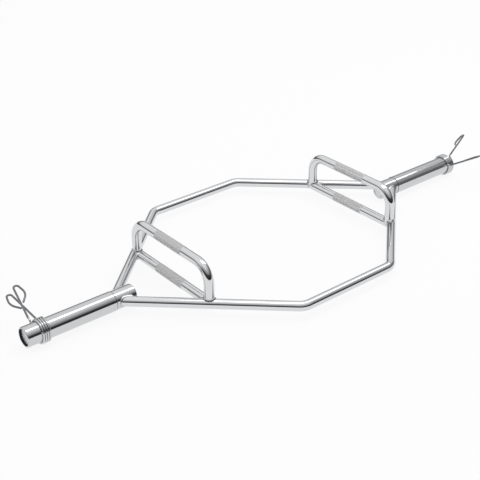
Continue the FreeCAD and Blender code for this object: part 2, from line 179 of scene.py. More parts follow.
@dataclass
class Route:
    """A line through space with its headings and the wire's or bar's radius at each point."""

    points: Array
    headings: Array
    radii: Array

    @staticmethod
    def join(*routes: "Route") -> "Route":
        """One route from several that follow each other."""
        parts = zip(*((route.points, route.headings, route.radii) for route in routes))
        return Route(*map(np.concatenate, parts))

    @staticmethod
    def straight(start: Array, end: Array, count: int, radius: float) -> "Route":
        """A straight run of count points, all of one radius."""
        points = start + np.linspace(0, 1, count)[:, None] * (end - start)
        return Route(points, np.tile(unit(end - start), (count, 1)), np.full(count, radius))

    @staticmethod
    def bend(
        start: Array, inward: Array, heading: Array, turn: float, count: int, radius: float
    ) -> "Route":
        """An arc.

        Args:
            start: Its first point.
            inward: From there to the arc's centre.
            heading: The unit heading at the start, square to that.
            turn: The arc's angle in radians.
            count: How many points it gets.
            radius: The radius of what follows the route.

        Returns:
            The arc as a route: start + inward - inward cos(angle) + heading |inward| sin(angle).
        """
        angle = np.linspace(0, turn, count)
        length = np.linalg.norm(inward)
        points = start + inward + swung(angle, -inward, heading * length)
        return Route(points, swung(angle, heading, inward / length), np.full(count, radius))

    @staticmethod
    def ball(centre: Array, heading: Array, radius: float, angles: Array) -> "Route":
        """Rings on a ball: each is radius cos(angle) behind its centre and radius sin(angle) wide."""
        points = centre - heading * (radius * np.cos(angles))[:, None]
        return Route(points, np.tile(heading, (len(angles), 1)), radius * np.sin(angles))

    def rest(self) -> "Route":
        """The route without its first point, where the one before it ends."""
        return Route(self.points[1:], self.headings[1:], self.radii[1:])

    def backwards(self) -> "Route":
        """The same route from its other end."""
        return Route(self.points[::-1], -self.headings[::-1], self.radii[::-1])

    def sheet(self, columns: int, toward: Array) -> Sheet:
        """Carry a circle along the route.

        Args:
            columns: How many points the circle has.
            toward: A direction that no heading runs along, which the circle's first axis leans to.

        Returns:
            The rings: point + radius (cos(a) normal + sin(a) binormal).
        """
        normal = unit(toward - self.headings * (self.headings @ toward)[:, None])
        binormal = np.cross(self.headings, normal)
        circle = swung(around(columns), normal[:, None], binormal[:, None])
        return Sheet(self.points[:, None] + self.radii[:, None, None] * circle)


def turned(profile: Array, columns: int, unplated_and_shaded: Array | None = None) -> Sheet:
    """Turn a profile about the sleeves' axis.

    Args:
        profile: Points by (place along the axis, radius).
        columns: How many points each circle has.
        unplated_and_shaded: For a profile that closes to a ring, the mark of its dark tone at each of its
            points, which stands for unplated metal and for painted shade.

    Returns:
        The rings: (x, r cos(a), r sin(a)).
    """
    spokes = swung(around(columns), ACROSS, UP)
    points = profile[:, :1, None] * ALONG + profile[:, 1:, None] * spokes
    if unplated_and_shaded is None:
        return Sheet(points)
    return Sheet(points, looped=True, marks={"bore": np.repeat(unplated_and_shaded[:, None], columns, axis=1)})


def corner_round(centre: tuple[float, float], radius: float, start: float, count: int = 8) -> Array:
    """A profile's corner: a quarter circle about its centre, clockwise from an angle in degrees."""
    angle = np.radians(np.linspace(start, start - 90, count))
    return np.array(centre) + radius * np.stack([np.cos(angle), np.sin(angle)], axis=-1)


@dataclass(frozen=True)
class Bead:
    """A rippled fillet weld that fills the corner along a closed line of touch.

    Attributes:
        leg: How far it reaches over each of the two surfaces, in millimetres.
        least: The share of that which is left where the corner opens to a flat.
        ripple: The spacing of its ripples in millimetres.
        depth: The height of a ripple in millimetres.
        bow: How far the ripples bow along the bead, in radians of their wave.
        swell: How far its face bulges in the middle, in millimetres.
        sunk: How deep its toes and root are let in, in millimetres.
        columns: How many points its face has across.
    """

    leg: float
    least: float = 0.4
    ripple: float = 3.0
    depth: float = 0.22
    bow: float = 0.9
    swell: float = 0.45
    sunk: float = 0.5
    columns: int = 13

    def sheet(self, line: Array, first: Array, second: Array) -> Sheet:
        """Sweep the bead: a face from a toe on one surface to a toe on the other, and a hidden root.

        The face is toe_1 + t (toe_2 - toe_1) + out (swell + depth |sin(pi s / ripple - bow)|) sin(pi t),
        where t runs across the bead and s along it.

        Args:
            line: Points of the closed line of touch.
            first: Unit normals of one surface at each point.
            second: Unit normals of the other one.

        Returns:
            A looped sheet.
        """
        step = np.linalg.norm(np.roll(line, -1, 0) - line, axis=1)
        length = step.sum()
        run = np.concatenate([[0.0], np.cumsum(step)[:-1]])[:, None]
        heading = unit(np.roll(line, -1, 0) - np.roll(line, 1, 0))
        out = unit(first + second)
        closed = np.clip(1 - np.einsum("ij,ij->i", first, second), 0.0, 1.0)
        leg = self.leg * (self.least + (1 - self.least) * np.sqrt(closed))[:, None]
        toes = []
        for own, other in ((first, second), (second, first)):
            away = np.cross(heading, own)
            away = unit(away * np.sign(np.einsum("ij,ij->", away, other)))
            toes.append(line + leg * away - self.sunk * own)
        across = np.linspace(0, 1, self.columns)[None, :]
        arch = np.sin(math.pi * across)
        count = max(1, round(length / self.ripple))
        wave = np.abs(np.sin(math.pi * count * run / length - self.bow * arch))
        lift = (self.swell + self.depth * wave) * arch
        chord = toes[0][:, None] + across[..., None] * (toes[1] - toes[0])[:, None]
        face = chord + lift[..., None] * out[:, None]
        root = line - 2 * self.sunk * out
        return Sheet(np.concatenate([face, root[:, None]], axis=1), looped=True)


def make_piece(
    node: str, kind: str, sheets: list[Sheet], finish: "Finish", side: Side, body: str = "bar"
) -> None:
    """Put sheets into one mesh, dress it and let it stand for a node of the frame.

    Args:
        node: The node that it replaces.
        kind: What the piece is, which ends its name.
        sheets: Its closed sheets, drawn on the right.
        finish: What it is dressed with.
        side: The end of the bar that it goes to.
        body: The body that it rides on.
    """
    name = f"{node}_{kind}"
    spots, quads, fans, first = [], [], [], 0
    for sheet in sheets:
        placed = Sheet(side.place(sheet.points), sheet.looped)
        four, three = placed.faces()
        spots.append(placed.listed(placed.points))
        quads.append(four + first)
        fans.append(three + first)
        first += len(spots[-1])
    points = (np.vstack(spots) + AXIS_HEIGHT * UP) * MM
    quads, fans = np.vstack(quads), np.vstack(fans)
    corners = np.concatenate([quads.ravel(), fans.ravel()])
    starts = np.concatenate([np.arange(len(quads)) * 4, len(quads) * 4 + np.arange(len(fans)) * 3])

    mesh = bpy.data.meshes.new(name)
    mesh.vertices.add(len(points))
    mesh.vertices.foreach_set("co", points.astype(np.float32).ravel())
    mesh.loops.add(len(corners))
    mesh.loops.foreach_set("vertex_index", corners.astype(np.int32))
    mesh.polygons.add(len(starts))
    mesh.polygons.foreach_set("loop_start", starts.astype(np.int32))
    mesh.update(calc_edges=True)
    mesh.polygons.foreach_set("use_smooth", np.ones(len(starts), dtype=bool))
    mesh.set_sharp_from_angle(angle=math.radians(finish.sharp))
    for mark in sorted({key for sheet in sheets for key in sheet.marks}):
        values = np.concatenate([sheet.values(mark) for sheet in sheets])
        mesh.attributes.new(mark, "FLOAT", "POINT").data.foreach_set("value", values.astype(np.float32))
    mesh.validate()
    mesh.materials.append(finish.material())

    piece = bpy.data.objects.new(name, mesh)
    bpy.context.scene.collection.objects.link(piece)
    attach(piece, body)
    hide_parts(node)
    LOG.info("%s: %d faces on %s", name, len(starts), body)


# Finishes

# The numbers of a Mix node's sockets that take and give colours.
COLOUR_A, COLOUR_B, COLOUR_OUT = 6, 7, 2
# The sockets of a Map Range node's two spans.
SPANS = ("From Min", "From Max", "To Min", "To Max")
WHITE = "FFFFFF"


def linear(code: str) -> tuple[float, float, float, float]:
    """Turn an sRGB hex colour to linear values with full alpha.

    Args:
        code: Six hex digits.

    Returns:
        Red, green, blue and alpha.
    """
    parts = np.array([int(code[place : place + 2], 16) for place in (0, 2, 4)]) / 255
    values = np.where(parts <= 0.04045, parts / 12.92, ((parts + 0.055) / 1.055) ** 2.4)
    return (*map(float, values), 1.0)


def per_metre(size_mm: float) -> float:
    """A texture's scale for a pattern of this size in millimetres, as object coordinates are metres."""
    return 1.0 / (size_mm * MM)


def add_node(
    tree: Tree, kind: str, inputs: dict | None = None, out: str | int = 0, **settings
) -> Socket | None:
    """Add one shader node with its settings and links.

    Args:
        tree: Where it goes.
        kind: Its type, without the words that all of them start with.
        inputs: Socket names or numbers with a value, or with the output socket that feeds them.
        out: Which of its outputs is wanted.
        **settings: The node's own settings.

    Returns:
        That output, if the node has any.
    """
    node = tree.nodes.new(f"ShaderNode{kind}")
    for name, value in settings.items():
        setattr(node, name, value)
    for name, value in (inputs or {}).items():
        if isinstance(value, Socket):
            tree.links.new(value, node.inputs[name])
        else:
            node.inputs[name].default_value = value
    return node.outputs[out] if node.outputs else None


@dataclass(frozen=True)
class Finish:
    """A metal finish. Its subclasses add what their surface shows.

    Attributes:
        name: What the material is.
        slot: The record's slot for it.
        colour: The metal's sRGB colour.
        low, high: Roughness where it is smoothest and where it is dullest.
        cloud: The size in millimetres of its dull and bright patches.
        wave, swell: The size and height in millimetres of its surface waviness.
        sharp: The edge angle in degrees above which shading breaks.
        cloud_span: The noise values at which a dull patch starts and is full.
        mark: The points' mark of a second tone, if the finish has one.
        mark_colour, mark_rough: The sRGB colour and the roughness of that tone.
    """

    name: str
    slot: Slot
    colour: str
    low: float
    high: float
    cloud: float
    wave: float
    swell: float
    sharp: float = 35.0
    cloud_span: tuple[float, float] = (0.35, 0.7)
    mark: str = ""
    mark_colour: str = ""
    mark_rough: float = 0.0

    def material(self) -> bpy.types.Material:
        """Make the material at its first use.

        Returns:
            The material, which all pieces of this finish share.
        """
        made = bpy.data.materials.get(self.name)
        if not made:
            made = bpy.data.materials.new(self.name)
            made.use_nodes = True
            made.node_tree.nodes.clear()
            self.dress(made.node_tree, add_node(made.node_tree, "TexCoord", out="Object"))
        return made

    def dress(self, tree: Tree, place: Socket) -> None:
        """Fill the node tree: a metal with its roughness and relief, and its second tone by the mark.

        Args:
            tree: Where the nodes go.
            place: The piece's own coordinates.
        """
        colour, rough = linear(self.colour), self.roughness(tree, place)
        if self.mark:
            share = add_node(tree, "Attribute", out="Fac", attribute_name=self.mark)
            tones = {0: share, COLOUR_A: colour, COLOUR_B: linear(self.mark_colour)}
            colour = add_node(tree, "Mix", tones, COLOUR_OUT, data_type="RGBA")
            levels = {"Value": share, "To Min": rough, "To Max": self.mark_rough}
            rough = add_node(tree, "MapRange", levels)
        look = {"Base Color": colour, "Metallic": 1.0, "Roughness": rough}
        metal = add_node(tree, "BsdfPrincipled", {**look, "Normal": self.relief(tree, place)})
        add_node(tree, "OutputMaterial", {"Surface": metal})

    def roughness(self, tree: Tree, place: Socket) -> Socket:
        """Roughness that drifts between its two values in soft patches.

        Args:
            tree: Where the nodes go.
            place: The piece's own coordinates.

        Returns:
            The roughness.
        """
        noise = {"Vector": place, "Scale": per_metre(self.cloud), "Detail": 4.0, "Roughness": 0.6}
        cloud = add_node(tree, "TexNoise", noise, "Fac")
        spans = zip(SPANS, (*self.cloud_span, self.low, self.high))
        return add_node(tree, "MapRange", {"Value": cloud, **dict(spans)})

    def relief(self, tree: Tree, place: Socket) -> Socket:
        """A bump of slow waves, as polishing leaves them.

        Args:
            tree: Where the nodes go.
            place: The piece's own coordinates.

        Returns:
            The normal.
        """
        noise = {"Vector": place, "Scale": per_metre(self.wave), "Detail": 1.5, "Roughness": 0.45}
        wave = add_node(tree, "TexNoise", noise, "Fac")
        return add_node(tree, "Bump", {"Strength": 1.0, "Distance": self.swell * MM, "Height": wave})


@dataclass(frozen=True)
class SleeveChrome(Finish):
    """Chrome plate of a plate sleeve: rings of fine scuffs, a worn rim, and a dark tone by the bore mark,
    which paints shade in the sleeve's end recess over its unplated bore and paints a shade line at the
    seam.

    Attributes:
        scuff: The width in millimetres of the rings that plates rub, drawn coarser than they are.
        scuff_run: The length in millimetres of a scuff round the sleeve.
        scuff_span: The noise values at which a scuff starts and is full.
        scuff_wear: How much roughness a scuff adds.
        rim_span: Where the worn rim starts and ends, in metres from the bar's middle.
        rim_wear: How much roughness it adds.
    """

    scuff: float = 1.6
    scuff_run: float = 60.0
    scuff_span: tuple[float, float] = (0.52, 0.75)
    scuff_wear: float = 0.09
    rim_span: tuple[float, float] = (0.703, 0.711)
    rim_wear: float = 0.1
    # The bore mark's dark tone is painted shade in the end recess and at the seam, over unplated metal in
    # the bore.
    mark: str = "bore"
    mark_colour: str = "3A3A3C"
    mark_rough: float = 0.5

    def roughness(self, tree: Tree, place: Socket) -> Socket:
        """Soft patches with the scuffs and the worn rim added.

        Args:
            tree: Where the nodes go.
            place: The piece's own coordinates.

        Returns:
            The roughness.
        """
        run = per_metre(self.scuff_run)
        drawn = add_node(tree, "Mapping", {"Vector": place, "Scale": (per_metre(self.scuff), run, run)})
        noise = {"Vector": drawn, "Scale": 1.0, "Detail": 3.0, "Roughness": 0.7}
        rings = add_node(tree, "TexNoise", noise, "Fac")
        along = add_node(tree, "SeparateXYZ", {"Vector": place}, "X")
        reach = add_node(tree, "Math", {0: along}, operation="ABSOLUTE")
        rough = super().roughness(tree, place)
        wears = ((rings, self.scuff_span, self.scuff_wear), (reach, self.rim_span, self.rim_wear))
        for value, span, wear in wears:
            spans = zip(SPANS, (*span, 0.0, wear))
            worn = add_node(tree, "MapRange", {"Value": value, **dict(spans)})
            rough = add_node(tree, "Math", {0: rough, 1: worn}, operation="ADD")
        return rough


@dataclass(frozen=True)
class FacedSteel(Finish):
    """Steel faced on a lathe: fine rings about the sleeves' axis.

    Attributes:
        feed: The rings' spacing in millimetres, drawn coarser than a real cut so that it shows.
        cut: Their depth in millimetres.
        tremble: How far the rings are distorted.
        wave_unit: Radians to the metre in a wave texture of scale 1.
    """

    feed: float = 2.5
    cut: float = 0.012
    tremble: float = 0.4
    wave_unit: float = 20.0

    def relief(self, tree: Tree, place: Socket) -> Socket:
        """A bump of ring grooves round the axis.

        Args:
            tree: Where the nodes go.
            place: The piece's own coordinates.

        Returns:
            The normal.
        """
        centred = add_node(tree, "Mapping", {"Vector": place, "Location": (0.0, 0.0, -AXIS_HEIGHT * MM)})
        scale = 2 * math.pi * per_metre(self.feed) / self.wave_unit
        wave = {"Vector": centred, "Scale": scale, "Distortion": self.tremble}
        rings = add_node(tree, "TexWave", wave, "Fac", wave_type="RINGS", rings_direction="X")
        return add_node(tree, "Bump", {"Strength": 1.0, "Distance": self.cut * MM, "Height": rings})


# Chrome plate over polished steel tube: near mirror, a little cool, with slow polishing waves.
BAR_CHROME = Finish("chrome_plated_tube", Slot.BAR, "D9DADC", 0.07, 0.11, 60.0, 22.0, 0.012)
# Plate on the hubs, which were ground after welding and are a little duller.
HUB_CHROME = SleeveChrome("chrome_plated_hub", Slot.BAR, "CFD0D2", 0.1, 0.16, 30.0, 16.0, 0.014)
# The tubes' plate on the grips. Their knurled middle is duller, with some dust in its grooves.
GRIP_CHROME = replace(
    BAR_CHROME,
    name="chrome_plated_grip",
    slot=Slot.GRIP,
    sharp=30.0,
    mark="knurl",
    mark_colour="D0D0D1",
    mark_rough=0.3,
)
# Plate on the turned sleeves, which plates rub.
SLEEVE_CHROME = SleeveChrome("chrome_plated_sleeve", Slot.SLEEVE, "CCCDCF", 0.05, 0.1, 45.0, 30.0, 0.01)
# Plated weld metal: brighter crests, duller valleys.
WELD_CHROME = Finish("plated_weld_bead", Slot.WELD, "BFC0C2", 0.12, 0.26, 6.0, 4.0, 0.05, sharp=60.0)
# Turned steel discs with a satin face.
PLUG_STEEL = FacedSteel("faced_steel_plug", Slot.PLUG, "E6E7E8", 0.55, 0.65, 12.0, 8.0, 0.0)
# Hard drawn spring wire under a thin plate.
WIRE_CHROME = Finish("plated_spring_wire", Slot.WIRE, "C8C9CB", 0.06, 0.12, 9.0, 3.0, 0.02, sharp=50.0)
# The arms of the same wire, painted darker than the coil: their dark colour is a painted dark reflection
# and shade that the thin arms show.
ARM_PAINTED_DARK = replace(WIRE_CHROME, name="painted_dark_spring_wire", colour="7E8084", low=0.1, high=0.2)


# The bar


@dataclass(frozen=True)
class Hexagon:
    """Sizes of the frame that its pieces share, in millimetres.

    Attributes:
        bar_r: Radius of the rails and handles.
        half_width: From the middle to a rail's long side.
        side_run: Length of the long side between its bends.
        bend: Radius of the rails' bends, at the centreline.
        meet_x: Where the rails' centrelines meet, from the middle.
        grip_x: Where the handles stand, from the middle.
        hub_r: Radius of the hubs.
    """

    bar_r: float = 12.5
    half_width: float = 307.0
    side_run: float = 257.0
    bend: float = 38.0
    meet_x: float = 475.0
    grip_x: float = 303.0
    hub_r: float = HUB_R

    @property
    def slope(self) -> float:
        """The diagonals' angle to the sleeves in radians: tangents from where they meet to the bends."""
        across, along = self.half_width - self.bend, self.meet_x - self.side_run / 2
        return math.atan2(across, along) + math.asin(self.bend / math.hypot(across, along))

    @property
    def foot_y(self) -> float:
        """How far from the middle the low grip's line crosses the rails."""
        return (self.meet_x - self.grip_x) * math.tan(self.slope)

    @property
    def outside(self) -> Array:
        """The level direction out of the frame, square to the rear right diagonal."""
        return np.array([math.sin(self.slope), math.cos(self.slope), 0.0])

    def rail_off(self, x: Array, y: Array) -> Array:
        """How far inside the rear right diagonal's centreline a point lies."""
        return math.sin(self.slope) * (self.meet_x - x) - math.cos(self.slope) * y

    def rail_reach(self, x: Array, z: Array) -> Array:
        """How far from the middle a bar across the frame meets the rear right diagonal."""
        sunk = np.sqrt(np.maximum(self.bar_r**2 - z**2, 0.0))
        return (self.meet_x - x) * math.tan(self.slope) - sunk / math.cos(self.slope)

    def hub_touch(self, columns: int, hub_r: float) -> tuple[Array, Array]:
        """Where the rear right diagonal meets the hub.

        Args:
            columns: How many points the line of touch has.
            hub_r: The hub's radius.

        Returns:
            The points, and the bar's own outward direction at each of them.
        """
        angle = around(columns)
        run = np.array([-math.cos(self.slope), math.sin(self.slope), 0.0])
        outward = swung(angle, self.outside, UP)
        z = self.bar_r * np.sin(angle)
        start = self.bar_r * np.cos(angle) * math.cos(self.slope)
        length = (np.sqrt(hub_r**2 - z**2) - start) / math.sin(self.slope)
        return self.meet_x * ALONG + length[:, None] * run + self.bar_r * outward, outward


@dataclass(frozen=True)
class Rails:
    """The two bent bars of the hexagon."""

    hexagon: Hexagon
    columns: int = 96
    bend_steps: int = 30
    run_steps: int = 14

    def sheet(self) -> Sheet:
        """The rear rail: a circle carried along side, bend and diagonal, and coped to the hubs.

        Returns:
            The whole rail, mirrored from its right half.
        """
        hexagon = self.hexagon
        middle = hexagon.half_width * ACROSS
        corner = middle + hexagon.side_run / 2 * ALONG
        side = Route.straight(middle, corner, self.run_steps, hexagon.bar_r)
        bend = Route.bend(
            corner, -hexagon.bend * ACROSS, ALONG, hexagon.slope, self.bend_steps, hexagon.bar_r
        )
        route = Route.join(side, bend.rest())
        beside = np.cross(UP, route.headings)
        rings = route.points[:, None] + hexagon.bar_r * swung(around(self.columns), beside[:, None], UP)
        touch, _ = hexagon.hub_touch(self.columns, hexagon.hub_r - LET_IN)
        run = ramp(rings[-1], touch, self.run_steps)[1:]
        return Sheet(reflected(np.vstack([rings, run]), MIRROR_ENDS))

    def build(self) -> None:
        """Make both rails. The front one is the rear one turned half round."""
        for node, side in (("rear_rail", Side.RIGHT), ("front_rail", Side.LEFT)):
            make_piece(node, "tube", [self.sheet()], BAR_CHROME, side)


@dataclass(frozen=True)
class Knurl:
    """A diamond knurl rolled into the middle of a grip.

    Attributes:
        length: The band's length in millimetres.
        turns: Diamonds round the bar.
        pitch: Length of a diamond along the bar, in millimetres.
        crest: How far the diamonds stand above the bar.
        groove: How far the grooves go below it.
        steep: How far the grooves' slopes are steepened, which leaves flat crests.
        samples: Points along and round each diamond.
        fade: The length over which the band runs out.
    """

    length: float = 108.0
    turns: int = 40
    pitch: float = 3.4
    crest: float = 0.3
    groove: float = 0.15
    steep: float = 1.35
    samples: int = 6
    fade: float = 1.2

    @property
    def columns(self) -> int:
        """Points round the bar."""
        return self.turns * self.samples

    def places(self) -> Array:
        """Places of the rings along half of the band, from its middle to its end."""
        return np.append(np.arange(0.0, self.length / 2, self.pitch / self.samples), self.length / 2)

    def height(self, along: Array, angle: Array) -> Array:
        """The surface's height over the bar: two families of slanting grooves.

        Each family is a triangle wave of turns * angle / 2 pi plus or minus along / pitch, and the lower
        of the two counts, cut off at the diamonds' flat crests.

        Args:
            along: Places along the bar, from the band's middle.
            angle: Angles round it.

        Returns:
            Heights for each place and angle.
        """
        spun = self.turns * angle[None, :] / (2 * math.pi)
        slid = along[:, None] / self.pitch
        waves = [1 - np.abs(2 * np.mod(spun + sign * slid, 1.0) - 1) for sign in (1, -1)]
        diamond = np.minimum(np.minimum(*waves) * self.steep, 1.0)
        run_out = np.clip((self.length / 2 - along) / self.fade, 0.0, 1.0)[:, None]
        return run_out * (diamond * (self.crest + self.groove) - self.groove)


@dataclass(frozen=True)
class Handles:
    """The low grip between the rails and the high grip above it, at one end of the bar.

    Attributes:
        hexagon: The frame's shared sizes.
        knurl: The band in the middle of each grip.
        rise: Height of the high grip's centreline over the low one's.
        bend: Radius of its bends.
        foot_inset: From the rail's crossing in to the high grip's feet.
    """

    hexagon: Hexagon
    knurl: Knurl = Knurl()
    rise: float = 94.0
    bend: float = 45.0
    foot_inset: float = 9.0
    bend_steps: int = 26
    run_steps: int = 10

    @property
    def stand_y(self) -> float:
        """How far from the middle the high grip's feet stand."""
        return self.hexagon.foot_y - self.foot_inset

    def band(self, height: float) -> Array:
        """Half of the knurled band of a grip that runs across the frame.

        Args:
            height: The grip's height over the sleeves' axis.

        Returns:
            Its rings from the middle to the band's end.
        """
        along, angle = self.knurl.places(), around(self.knurl.columns)
        radius = self.hexagon.bar_r + self.knurl.height(along, angle)
        x = self.hexagon.grip_x + radius * np.cos(angle)
        y = np.repeat(along[:, None], self.knurl.columns, axis=1)
        return np.stack([x, y, height + radius * np.sin(angle)], axis=-1)

    def whole(self, band: Array, rest: Array) -> Sheet:
        """Make a grip from its half, mirrored to the front.

        Args:
            band: The rings of the knurled band, of which the last is plain.
            rest: The rings that follow it.

        Returns:
            The grip with its knurl mark.
        """
        rings = np.vstack([band, rest])
        mark = np.zeros(rings.shape[:2])
        mark[: len(band) - 1] = 1.0
        return Sheet(reflected(rings, MIRROR_REAR), marks={"knurl": np.vstack([mark[:0:-1], mark])})

    def low(self) -> Sheet:
        """The low grip: a straight bar coped to the rails.

        Returns:
            The grip, whose ends follow the rails' round sides.
        """
        band = self.band(0.0)
        end = band[-1].copy()
        end[:, 1] = self.hexagon.rail_reach(end[:, 0], end[:, 2]) + LET_IN
        return self.whole(band, ramp(band[-1], end, self.run_steps)[1:])

    def high(self) -> Sheet:
        """The high grip: across, down round a bend and onto the rail and the low grip.

        Returns:
            The grip. In its bend each point of the circle runs along its own quarter circle.
        """
        hexagon = self.hexagon
        band = self.band(self.rise)
        angle = around(self.knurl.columns)
        turn = np.linspace(0, math.pi / 2, self.bend_steps)[:, None]
        reach = self.bend + hexagon.bar_r * np.sin(angle)
        x = np.repeat(hexagon.grip_x + hexagon.bar_r * np.cos(angle)[None], self.bend_steps, axis=0)
        y = self.stand_y - self.bend + reach * np.sin(turn)
        z = self.rise - self.bend + reach * np.cos(turn)
        bend = np.stack([x, y, z], axis=-1)
        foot = bend[-1].copy()
        foot[:, 2] = self.seat(foot[:, 0], foot[:, 1])[0] - LET_IN
        across = ramp(band[-1], bend[0], self.run_steps)[1:-1]
        leg = ramp(bend[-1], foot, self.run_steps)[1:]
        return self.whole(band, np.vstack([across, bend, leg]))

    def seat(self, x: Array, y: Array) -> tuple[Array, Array]:
        """What the high grip's foot stands on: the higher of the rail and the low grip inside of it.

        Args:
            x: Places along the sleeves.
            y: Places across them, at the rear.

        Returns:
            The seat's heights there, and its unit normals.
        """
        hexagon = self.hexagon
        off_rail = hexagon.rail_off(x, y)
        off_grip = x - hexagon.grip_x
        rail = np.sqrt(np.maximum(hexagon.bar_r**2 - off_rail**2, 0.0))
        grip = np.sqrt(np.maximum(hexagon.bar_r**2 - off_grip**2, 0.0)) * (off_rail > 0)
        rail_normal = rail[:, None] * UP - off_rail[:, None] * hexagon.outside
        grip_normal = grip[:, None] * UP + off_grip[:, None] * ALONG
        normal = np.where((rail > grip)[:, None], rail_normal, grip_normal) / hexagon.bar_r
        return np.maximum(rail, grip), normal

    def build(self, side: Side) -> None:
        """Make both grips of one end."""
        for name, sheet in (("low", self.low()), ("high", self.high())):
            make_piece(f"{side.value}_{name}_handle", "grip", [sheet], GRIP_CHROME, side)


@dataclass(frozen=True)
class Welds:
    """The beads at the hub and at the feet of both handles, at one end of the bar.

    Attributes:
        hexagon: The frame's shared sizes.
        handles: The handles that are welded in.
        hub_bead: The bead round a rail's end.
        low_bead: The bead round the low grip's end.
        high_bead: The bead round the high grip's foot.
        crease: Points on each side over which the high bead is smoothed where its seat has a crease.
        columns: How many points a line of touch has.
    """

    hexagon: Hexagon
    handles: Handles
    hub_bead: Bead = Bead(leg=4.6)
    low_bead: Bead = Bead(leg=3.6)
    high_bead: Bead = Bead(leg=4.2)
    crease: int = 3
    columns: int = 180

    def at_hub(self) -> Sheet:
        """The bead round the rear rail's end on the hub."""
        line, outward = self.hexagon.hub_touch(self.columns, self.hexagon.hub_r)
        return self.hub_bead.sheet(line, outward, line * (ACROSS + UP) / self.hexagon.hub_r)

    def at_low(self) -> Sheet:
        """The bead round the low grip's end on the rear rail.

        Returns:
            The bead along the line where the two round bars meet.
        """
        hexagon = self.hexagon
        angle = around(self.columns)
        own = swung(angle, ALONG, UP)
        line = hexagon.grip_x * ALONG + hexagon.bar_r * own
        line[:, 1] = hexagon.rail_reach(line[:, 0], line[:, 2])
        rail = np.sin(angle)[:, None] * UP - np.abs(np.cos(angle))[:, None] * hexagon.outside
        return self.low_bead.sheet(line, own, rail)

    def at_high(self) -> Sheet:
        """The bead round the high grip's rear foot, smoothed at the crease of its seat.

        Returns:
            The bead along the foot's line on the rail and the low grip.
        """
        own = swung(around(self.columns), ALONG, ACROSS)
        line = self.hexagon.grip_x * ALONG + self.handles.stand_y * ACROSS + self.hexagon.bar_r * own
        line[:, 2], normal = self.handles.seat(line[:, 0], line[:, 1])
        eased = sum(np.roll(normal, shift, 0) for shift in range(-self.crease, self.crease + 1))
        return self.high_bead.sheet(line, own, unit(eased))

    def build(self, side: Side) -> None:
        """Make the beads of one end, each with its mirror image at the front.

        Args:
            side: Which end.
        """
        for name, rear in (("hub", self.at_hub()), ("low", self.at_low()), ("high", self.at_high())):
            front = Sheet(rear.points * MIRROR_REAR, looped=True)
            make_piece(f"{side.value}_{name}_welds", "beads", [rear, front], WELD_CHROME, side)


